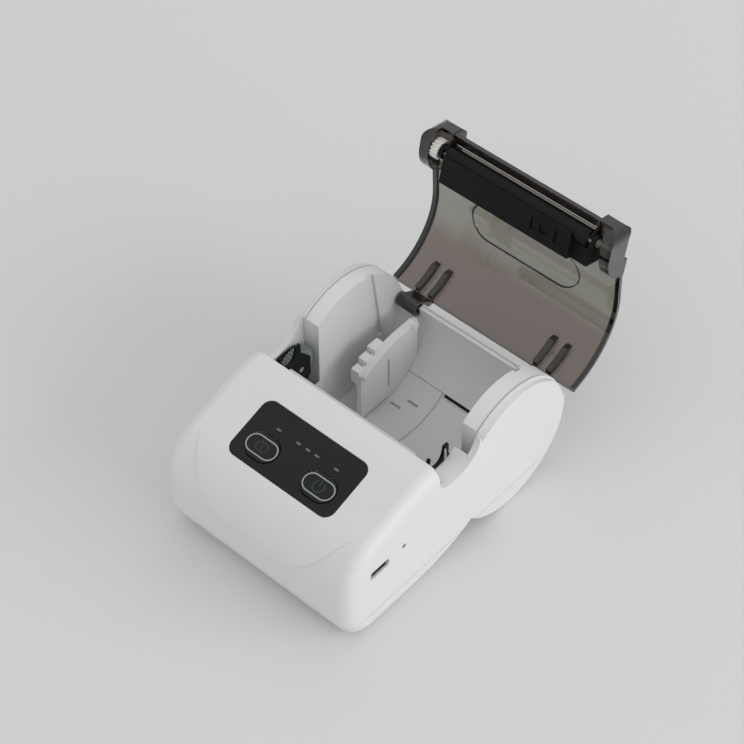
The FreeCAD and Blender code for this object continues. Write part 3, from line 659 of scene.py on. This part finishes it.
@dataclass
class Housing:
    """White shells, battery cover and the screws that close them from below."""

    screw_spots: tuple[Flat, ...] = ((-33.2, -2.0), (33.2, -2.0), (-34.0, 59.6), (34.0, 59.6))
    head_across: float = 4.0
    head_sides: int = 40
    head_low: float = 1.35
    head_high: float = 1.6
    shank_across: float = 2.4
    shank_sides: int = 24
    shank_long: float = 11.5
    recess_long: float = 2.3
    recess_wide: float = 0.62
    recess_deep: float = 0.9
    scoop_mm: Flat = (7.5, -8.3)
    scoop_radius: float = 9.0
    ridge_offsets: tuple[float, ...] = (-2.4, -0.8, 0.8, 2.4)
    ridge_long: float = 15.0
    ridge_radius: float = 0.34
    ridge_sides: int = 20

    def build(self, finishes: Finishes) -> None:
        """Dresses the shells and adds screws and thumb ridges.

        Args:
            finishes: Finishes of the printer.
        """
        white = finishes["moulded_white_abs"]
        dress(white, "upper_housing", "lower_housing", "battery_cover", "roll_divider")
        dress(finishes["blue_shrink_wrap"], "battery_pack")
        dress(finishes["zinc_plated_steel"], "housing_screws")
        self.screws(finishes["zinc_plated_steel"])
        self.ridges(white)

    def screws(self, finish: bpy.types.Material) -> None:
        """Cross-recessed screws, heads down.

        Args:
            finish: Metal of the screws.
        """
        tree = GrowthTree("cross_recessed_screw", {
            "Head radius": self.head_across / 2 * MM, "Head height": self.head_high * MM,
            "Shank radius": self.shank_across / 2 * MM, "Shank length": self.shank_long * MM,
            "Recess arm": (self.recess_long * MM, self.recess_wide * MM, 2 * self.recess_deep * MM),
            "Shank middle": (0.0, 0.0, (self.head_high + self.shank_long / 2) * MM),
            "Head middle": (0.0, 0.0, self.head_high / 2 * MM)})
        given = tree.given
        head = tree.add("GeometryNodeMeshCylinder", {"Vertices": self.head_sides},
                        {"Radius": given["Head radius"], "Depth": given["Head height"]})
        head = tree.add("GeometryNodeTransform",
                        links={0: head.outputs[0], "Translation": given["Head middle"]})
        shank = tree.add("GeometryNodeMeshCylinder", {"Vertices": self.shank_sides},
                         {"Radius": given["Shank radius"], "Depth": given["Shank length"]})
        shank = tree.add("GeometryNodeTransform",
                         links={0: shank.outputs[0], "Translation": given["Shank middle"]})
        arm = tree.add("GeometryNodeMeshCube", links={"Size": given["Recess arm"]})
        turned = tree.add("GeometryNodeTransform", {"Rotation": (0.0, 0.0, math.pi / 2)},
                          {0: arm.outputs[0]})
        cut = tree.add("GeometryNodeMeshBoolean", {"operation": "DIFFERENCE"}, {0: head.outputs[0]})
        for tool in (arm, turned):
            tree.tree.links.new(tool.outputs[0], cut.inputs[1])
        whole = tree.add("GeometryNodeJoinGeometry")
        for part in (cut, shank):
            tree.tree.links.new(part.outputs[0], whole.inputs[0])
        tree.spread(whole.outputs[0])
        spots = [(x * MM, y * MM, self.head_low * MM) for x, y in self.screw_spots]
        settle(tree.grow("cross_screws", spots, finish), Body.HOUSING, "zinc_steel", "housing_screws")

    def ridges(self, finish: bpy.types.Material) -> None:
        """Grip ridges across the thumb scoop of the battery cover.

        Args:
            finish: Plastic of the cover.
        """
        tree = GrowthTree("thumb_ridge", {"Radius": self.ridge_radius * MM, "Length": self.ridge_long * MM})
        bar = tree.add("GeometryNodeMeshCylinder", {"Vertices": self.ridge_sides},
                       {"Radius": tree.given["Radius"], "Depth": tree.given["Length"]})
        lying = tree.add("GeometryNodeTransform", {"Rotation": (0.0, math.pi / 2, 0.0)}, {0: bar.outputs[0]})
        tree.spread(lying.outputs[0])
        spots = []
        for offset in self.ridge_offsets:
            rise = math.sqrt(self.scoop_radius ** 2 - offset ** 2)
            spots.append((0.0, (self.scoop_mm[0] + offset) * MM, (self.scoop_mm[1] + rise) * MM))
        settle(tree.grow("thumb_ridges", spots, finish), Body.HOUSING, "white_abs")


@dataclass
class ControlPanel:
    """Black film on the sloping top with two keys, their printed rings and signs, and five lamps."""

    middle_mm: Point = (0.0, 2.02, 43.09)
    slope: float = 17.9
    key_x: float = 11.7
    key_s: float = -3.65
    key_top: float = 0.3
    outline: Flat = (10.95, 5.6)
    line_wide: float = 0.42
    print_high: float = 0.02
    print_gap: float = 0.004
    sign_line: float = 0.5
    sign_radius: float = 1.9
    sign_from: float = 125.0
    sign_turn: float = 290.0
    sign_steps: int = 36
    bar_from: float = 0.2
    bar_past: float = 0.5
    sheet: Flat = (4.4, 3.0)
    stem_half: float = 0.9

    def build(self, finishes: Finishes) -> None:
        """Dresses the panel and prints its marks.

        Args:
            finishes: Finishes of the printer.
        """
        dress(finishes["black_polyester_film"], "control_overlay")
        dress(finishes["black_abs_keys"], "feed_button", "power_button")
        dress(finishes["frosted_light_guide"], "indicator_windows")
        dress(finishes["clear_lamp_epoxy"], "indicator_leds")
        dress(finishes["green_solder_resist"], "key_board")
        dress(finishes["black_glass_filled_nylon"], "key_switches")
        self.outlines(finishes["light_grey_ink"])
        self.power_sign(finishes["dark_green_ink"])
        self.feed_sign(finishes["dark_grey_ink"])

    def place(self, x: float, s: float, h: float) -> Point:
        """Carries panel millimetres (across, up the slope, out) into the frame's metres."""
        turn = math.radians(self.slope)
        y = self.middle_mm[1] + s * math.cos(turn) - h * math.sin(turn)
        z = self.middle_mm[2] + s * math.sin(turn) + h * math.cos(turn)
        return x * MM, y * MM, z * MM

    def printed(self, name: str, lines: list[tuple[list[Flat], list[Flat], bool]],
                finish: bpy.types.Material) -> bpy.types.Object:
        """Makes thin printed bands on a key's top.

        Args:
            name: Name of the piece.
            lines: Inner and outer edge of each band, and whether it is a closed ring.
            finish: Ink.

        Returns:
            The piece.
        """
        points: list[Point] = []
        faces: list[tuple[int, ...]] = []
        low = self.key_top + self.print_gap
        high = low + self.print_high
        for inner, outer, closed in lines:
            faces += strip_faces(len(inner), closed, len(points))
            for row, level in ((inner, high), (outer, high), (outer, low), (inner, low)):
                points += [self.place(x, s, level) for x, s in row]
        return new_piece(name, points, faces, finish)

    def outlines(self, ink: bpy.types.Material) -> None:
        """Prints a ring on each key, just inside its edge.

        Args:
            ink: Ink of the rings.
        """
        for side, key, body in ((-1, "feed", Body.FEED_KEY), (1, "power", Body.POWER_KEY)):
            edges = []
            for grow in (0.0, 2 * self.line_wide):
                ring = obround_line(self.outline[0] + grow, self.outline[1] + grow)
                edges.append([(side * self.key_x + x, self.key_s + s) for x, s in ring])
            band = self.printed(f"{key}_outline", [(edges[0], edges[1], True)], ink)
            settle(band, body, "light_guide")

    def power_sign(self, ink: bpy.types.Material) -> None:
        """Prints the broken ring and bar of an on-off key.

        Args:
            ink: Ink of the sign.
        """
        half = self.sign_line / 2
        turns = [math.radians(self.sign_from + self.sign_turn * step / self.sign_steps)
                 for step in range(self.sign_steps + 1)]
        edges = [[(self.key_x + r * math.cos(t), self.key_s + r * math.sin(t)) for t in turns]
                 for r in (self.sign_radius - half, self.sign_radius + half)]
        ends = (self.bar_from, self.sign_radius + self.bar_past)
        bar = [[(self.key_x + side * half, self.key_s + s) for s in ends] for side in (-1, 1)]
        lines = [(edges[0], edges[1], False), (bar[0], bar[1], False)]
        settle(self.printed("power_sign", lines, ink), Body.POWER_KEY, "key_cap")

    def feed_sign(self, ink: bpy.types.Material) -> None:
        """Prints a round-ended outline with a bar in it on the feed key.

        Args:
            ink: Ink of the sign.
        """
        half = self.sign_line / 2
        edges = []
        for grow in (-half, half):
            ring = obround_line(self.sheet[0] + 2 * grow, self.sheet[1] + 2 * grow)
            edges.append([(-self.key_x + x, self.key_s + s) for x, s in ring])
        ends = (-self.stem_half, self.stem_half)
        stem = [[(-self.key_x + side * half, self.key_s + s) for s in ends] for side in (-1, 1)]
        lines = [(edges[0], edges[1], True), (stem[0], stem[1], False)]
        settle(self.printed("feed_sign", lines, ink), Body.FEED_KEY, "key_cap")


@dataclass
class DataPort:
    """Data socket and charge lamp in the right wall, with the board behind them."""

    tongue_mm: Point = (35.55, -4.0, 27.5)
    pad_mm: Point = (1.9, 0.55, 0.06)
    pad_pitch: float = 0.95
    pads: int = 5

    def build(self, finishes: Finishes) -> None:
        """Dresses the socket and lays its contacts.

        Args:
            finishes: Finishes of the printer.
        """
        dress(finishes["nickel_plated_steel"], "data_socket")
        dress(finishes["frosted_light_guide"], "charge_lamp")
        dress(finishes["green_solder_resist"], "main_board")
        tree = GrowthTree("contact_pad", {"Size": tuple(side * MM for side in self.pad_mm)})
        pad = tree.add("GeometryNodeMeshCube", links={"Size": tree.given["Size"]})
        tree.spread(pad.outputs[0])
        x, y, z = self.tongue_mm
        first = y - self.pad_pitch * (self.pads - 1) / 2
        spots = [(x * MM, (first + index * self.pad_pitch) * MM, (z + self.pad_mm[2] / 2) * MM)
                 for index in range(self.pads)]
        contacts = tree.grow("socket_contacts", spots, finishes["gold_plated_contact"])
        settle(contacts, Body.HOUSING, "plated_steel")


@dataclass
class PrintMechanism:
    """Carrier, print head, springs and gear train behind the panel, and the paper sensor of the bay."""

    sensor_ends: Flat = (-2.2, 8.8)
    sensor_section: tuple[Flat, ...] = (
        (74.5, 6.85), (75.8, 6.85), (75.8, 7.7), (75.3, 7.55), (74.9, 7.2))
    clip_ends: Flat = (31.2, 31.5)
    clip_section: tuple[Flat, ...] = (
        (33.7, 37.6), (34.7, 37.4), (34.9, 38.0), (34.5, 43.2), (34.0, 43.8), (33.6, 43.2))
    ledge_ends: Flat = (31.2, 36.3)
    ledge_run: Flat = (26.5, 38.9)
    ledge_low: float = 36.2
    ledge_steps: int = 8
    ledge_chamfer: float = 0.4
    hood_mm: Flat = (31.4, 49.5)
    hood_radius: float = 11.75

    def build(self, finishes: Finishes) -> None:
        """Dresses the mechanism and adds the sensor window and the right seat's steel clip and ledge.

        Args:
            finishes: Finishes of the printer.
        """
        black = finishes["black_glass_filled_nylon"]
        dress(black, "mechanism_frame", "gear_guard")
        dress(finishes["extruded_aluminium"], "heat_sink")
        dress(finishes["glazed_alumina"], "print_head")
        dress(finishes["nickel_plated_steel"], "head_pivot_pin", "tear_bar", "gear_shafts", "hinge_pins")
        dress(finishes["rolled_spring_steel"], "head_springs")
        dress(finishes["zinc_plated_steel"], "stepper_motor")
        dress(finishes["grey_acetal"], "motor_pinion", "idler_gear", "drive_gear")
        sensor = prism("sensor_window", self.sensor_section, self.sensor_ends, black)
        settle(sensor, Body.HOUSING, "black_nylon")
        clip = prism("seat_clip", self.clip_section, self.clip_ends, finishes["nickel_plated_steel"])
        settle(clip, Body.HOUSING, "plated_steel")
        ledge = prism("seat_ledge", self.ledge_section(), self.ledge_ends, finishes["moulded_white_abs"])
        settle(ledge, Body.HOUSING, "white_abs")

    def ledge_section(self) -> tuple[Flat, ...]:
        """Draws the right seat's white ledge, whose top follows the hood of the shut lid.

        Returns:
            Corners of its section.
        """
        front, rear = self.ledge_run
        middle, height = self.hood_mm
        top = []
        for step in range(self.ledge_steps + 1):
            y = rear + (middle - rear) * step / self.ledge_steps
            top.append((y, height - math.sqrt(self.hood_radius ** 2 - (y - middle) ** 2)))
        level = height - self.hood_radius
        nose = ((front + self.ledge_chamfer, level), (front, level - self.ledge_chamfer))
        return (front, self.ledge_low), (rear, self.ledge_low), *top, *nose


@dataclass
class Lid:
    """Smoke lid with the platen under its free edge; its sizes are those of the shut lid."""

    radius: float = 27.4
    thick: float = 1.7
    slope: float = 14.0
    free_edge: float = 24.25
    outline: Flat = (44.4, 14.9)
    outline_angle: float = 100.3
    outline_wide: float = 0.5
    outline_depth: Flat = (0.08, 0.28)
    hatch_from: float = 0.3
    hatch_mm: Point = (0.4, 2.9, 0.22)
    hatch_pitch: float = 0.6
    hatch_half: float = 27.6
    hatch_slant: float = 24.0
    blade_mm: Point = (56.8, 0.28, 0.22)
    blade_gap: float = 0.15
    blade_bevel: float = 0.6

    def build(self, finishes: Finishes) -> None:
        """Dresses lid and platen, fills the pressed outline and hatches the free edge.

        Args:
            finishes: Finishes of the printer.
        """
        dress(finishes["smoke_polycarbonate"], "lid")
        dress(finishes["black_glass_filled_nylon"], "platen_holder", "platen_bushings")
        dress(finishes["ground_black_rubber"], "platen_roller")
        dress(finishes["nickel_plated_steel"], "platen_shaft")
        dress(finishes["white_acetal"], "platen_gear")
        self.pressed_outline(finishes["smoke_grey_paint"])
        self.hatching(finishes["black_glass_filled_nylon"])
        self.blade(finishes["nickel_plated_steel"])

    def opening(self) -> Matrix:
        """Turns the shut lid open about its hinge, in metres."""
        pivot = Vector((0.0, *LID_HINGE_MM)) * MM
        turn = Matrix.Rotation(math.radians(-LID_SWING), 4, "X")
        return Matrix.Translation(pivot) @ turn @ Matrix.Translation(-pivot)

    def on_crown(self, x: float, s: float, depth: float) -> Vector:
        """Point of the shut lid's outside.

        Args:
            x: Millimetres across.
            s: Millimetres from the outline's middle towards the hinge.
            depth: Millimetres below the surface.

        Returns:
            The point in metres.
        """
        lean = math.radians(self.outline_angle - 90 - self.slope)
        flat_from = self.radius * math.sin(lean)
        bound = max(s, flat_from)
        turn = math.radians(self.outline_angle) - math.asin(bound / self.radius)
        reach = (bound - s) / math.cos(lean)
        slope = math.radians(self.slope)
        y = DRUM_MM[0] + (self.radius - depth) * math.cos(turn) - reach * math.cos(slope)
        z = DRUM_MM[1] + (self.radius - depth) * math.sin(turn) - reach * math.sin(slope)
        return Vector((x, y, z)) * MM

    def pressed_outline(self, paint: bpy.types.Material) -> None:
        """Fills the obround groove of the lid's outside.

        Args:
            paint: Paint in the groove.
        """
        shallow, deep = self.outline_depth
        open_up = self.opening()
        points: list[Point] = []
        rows = ((-1, shallow), (1, shallow), (1, deep), (-1, deep))
        for side, depth in rows:
            ring = obround_line(*(size + side * self.outline_wide for size in self.outline))
            points += [tuple(open_up @ self.on_crown(x, s, depth)) for x, s in ring]
        faces = strip_faces(len(points) // len(rows), True)
        settle(new_piece("pressed_outline", points, faces, paint), Body.LID, "smoke_lid")

    def hatching(self, finish: bpy.types.Material) -> None:
        """Slanted fine ribs inside the free edge that grip the paper.

        Args:
            finish: Plastic of the ribs.
        """
        tree = GrowthTree("edge_hatching", {
            "Size": tuple(side * MM for side in self.hatch_mm),
            "Slant": (0.0, 0.0, math.radians(self.hatch_slant))})
        rib = tree.add("GeometryNodeMeshCube", links={"Size": tree.given["Size"]})
        turned = tree.add("GeometryNodeTransform",
                          links={0: rib.outputs[0], "Rotation": tree.given["Slant"]})
        tree.spread(turned.outputs[0])
        count = int(2 * self.hatch_half / self.hatch_pitch) + 1
        along = self.hatch_from + self.hatch_mm[1] / 2
        spots = [((index - (count - 1) / 2) * self.hatch_pitch * MM, along * MM, -self.hatch_mm[2] / 2 * MM)
                 for index in range(count)]
        settle(tree.grow("edge_hatching", spots, finish, self.under_edge()), Body.LID, "black_nylon")

    def under_edge(self) -> Matrix:
        """Carries (across, from the free edge, out) metres onto the open lid's inside."""
        slope = math.radians(self.slope)
        back = self.free_edge - DRUM_MM[0]
        rise = (self.radius - self.thick + back * math.sin(slope)) / math.cos(slope)
        corner = Vector((0.0, self.free_edge, DRUM_MM[1] + rise)) * MM
        return self.opening() @ Matrix.Translation(corner) @ Matrix.Rotation(slope, 4, "X")

    def blade(self, finish: bpy.types.Material) -> None:
        """Thin steel strip with a bevelled edge between the hatching and the roller.

        Args:
            finish: Metal of the strip.
        """
        long, wide, high = self.blade_mm
        start = self.hatch_from + self.hatch_mm[1] + self.blade_gap
        end = start + wide
        section = ((start, 0.0), (start + wide * self.blade_bevel, -high), (end, -high), (end, 0.0))
        blade = prism("edge_blade", section, (-long / 2, long / 2), finish, self.under_edge())
        settle(blade, Body.LID, "plated_steel")


@dataclass
class Stage:
    """Pale floor, soft studio light and the camera; floor and lamp are sized in metres."""

    azimuth: float = 41.473
    elevation: float = 48.546
    focal_px: float = 2324.0
    aim_mm: Point = (-17.24, 55.455, 24.28)
    distance_mm: float = 753.06
    floor_colour: str = "#E3E3E3"
    floor_shade: str = "#E1E1E1"
    floor_roughness: float = 0.9
    fibre_mm: float = 3.0
    backdrop_colour: str = "#CDCDCD"
    floor_side: float = 8.0
    sky_level: float = 0.70
    key_from: Point = (0.84, 0.26, 0.40)
    key_distance: float = 2.4
    key_sides: Flat = (2.4, 0.8)
    key_watts: float = 20.5

    def build(self) -> None:
        """Makes floor, world, lamp and camera."""
        bpy.context.scene.view_settings.view_transform = "Standard"
        self.floor()
        self.world()
        self.lamp()
        self.camera()

    def floor(self) -> None:
        """Lays the floor just under the printer."""
        finish, surface = blank_material("pale_paper_floor")
        tree = finish.node_tree
        place = add_node(tree, "ShaderNodeTexCoord").outputs["Object"]
        tone = blend(tree, self.floor_colour, self.floor_shade, noise(tree, place, self.fibre_mm, 3.0))
        surface.inputs["Roughness"].default_value = self.floor_roughness
        tree.links.new(tone, surface.inputs["Base Color"])
        half = self.floor_side / 2
        corners = [(-half, -half, 0), (half, -half, 0), (half, half, 0), (-half, half, 0)]
        new_piece("floor", corners, [(0, 1, 2, 3)], finish)

    def world(self) -> None:
        """Even grey surroundings that light the printer; rays that see them get the backdrop's tone."""
        world = bpy.data.worlds.new("studio")
        bpy.context.scene.world = world
        world.use_nodes = True
        tree = world.node_tree
        tree.nodes.clear()
        level = self.sky_level
        light, seen = (add_node(tree, "ShaderNodeBackground", {"Color": colour, "Strength": 1.0})
                       for colour in ((level, level, level, 1.0), linear(self.backdrop_colour)))
        rays = add_node(tree, "ShaderNodeLightPath").outputs
        direct = pick(tree, "MAXIMUM", rays["Is Camera Ray"], rays["Is Glossy Ray"])
        looking = pick(tree, "MAXIMUM", direct, rays["Is Transmission Ray"])
        mix = add_node(tree, "ShaderNodeMixShader",
                       links={0: looking, 1: light.outputs[0], 2: seen.outputs[0]})
        add_node(tree, "ShaderNodeOutputWorld", links={"Surface": mix.outputs[0]})

    def lamp(self) -> None:
        """One large soft lamp from behind the printer's right."""
        data = bpy.data.lights.new("softbox", "AREA")
        data.shape = "RECTANGLE"
        data.size, data.size_y = self.key_sides
        data.energy = self.key_watts
        lamp = bpy.data.objects.new("softbox", data)
        bpy.context.scene.collection.objects.link(lamp)
        away = Vector(self.key_from).normalized()
        lamp.location = away * self.key_distance
        lamp.rotation_mode = "QUATERNION"
        lamp.rotation_quaternion = (-away).to_track_quat("-Z", "Y")

    def camera(self) -> None:
        """Looks down on the printer from its front right."""
        data = bpy.data.cameras.new("camera")
        data.sensor_width = SENSOR_MM
        data.lens = self.focal_px / IMAGE_SIDE * SENSOR_MM
        camera = bpy.data.objects.new("camera", data)
        bpy.context.scene.collection.objects.link(camera)
        turn, lift = math.radians(self.azimuth), math.radians(self.elevation)
        back = Vector((math.sin(turn) * math.cos(lift), -math.cos(turn) * math.cos(lift), math.sin(lift)))
        camera.location = (Vector(self.aim_mm) + back * self.distance_mm) * MM
        camera.rotation_mode = "QUATERNION"
        camera.rotation_quaternion = (-back).to_track_quat("-Z", "Y")
        bpy.context.scene.camera = camera


def main() -> None:
    """Builds the sub-assemblies in order and sets the stage."""
    logging.basicConfig(level=logging.INFO, format="%(name)s: %(message)s")
    finishes = Finishes()
    for assembly in (Housing(), ControlPanel(), DataPort(), PrintMechanism(), Lid()):
        assembly.build(finishes)
    Stage().build()


if __name__ == "__main__":
    main()
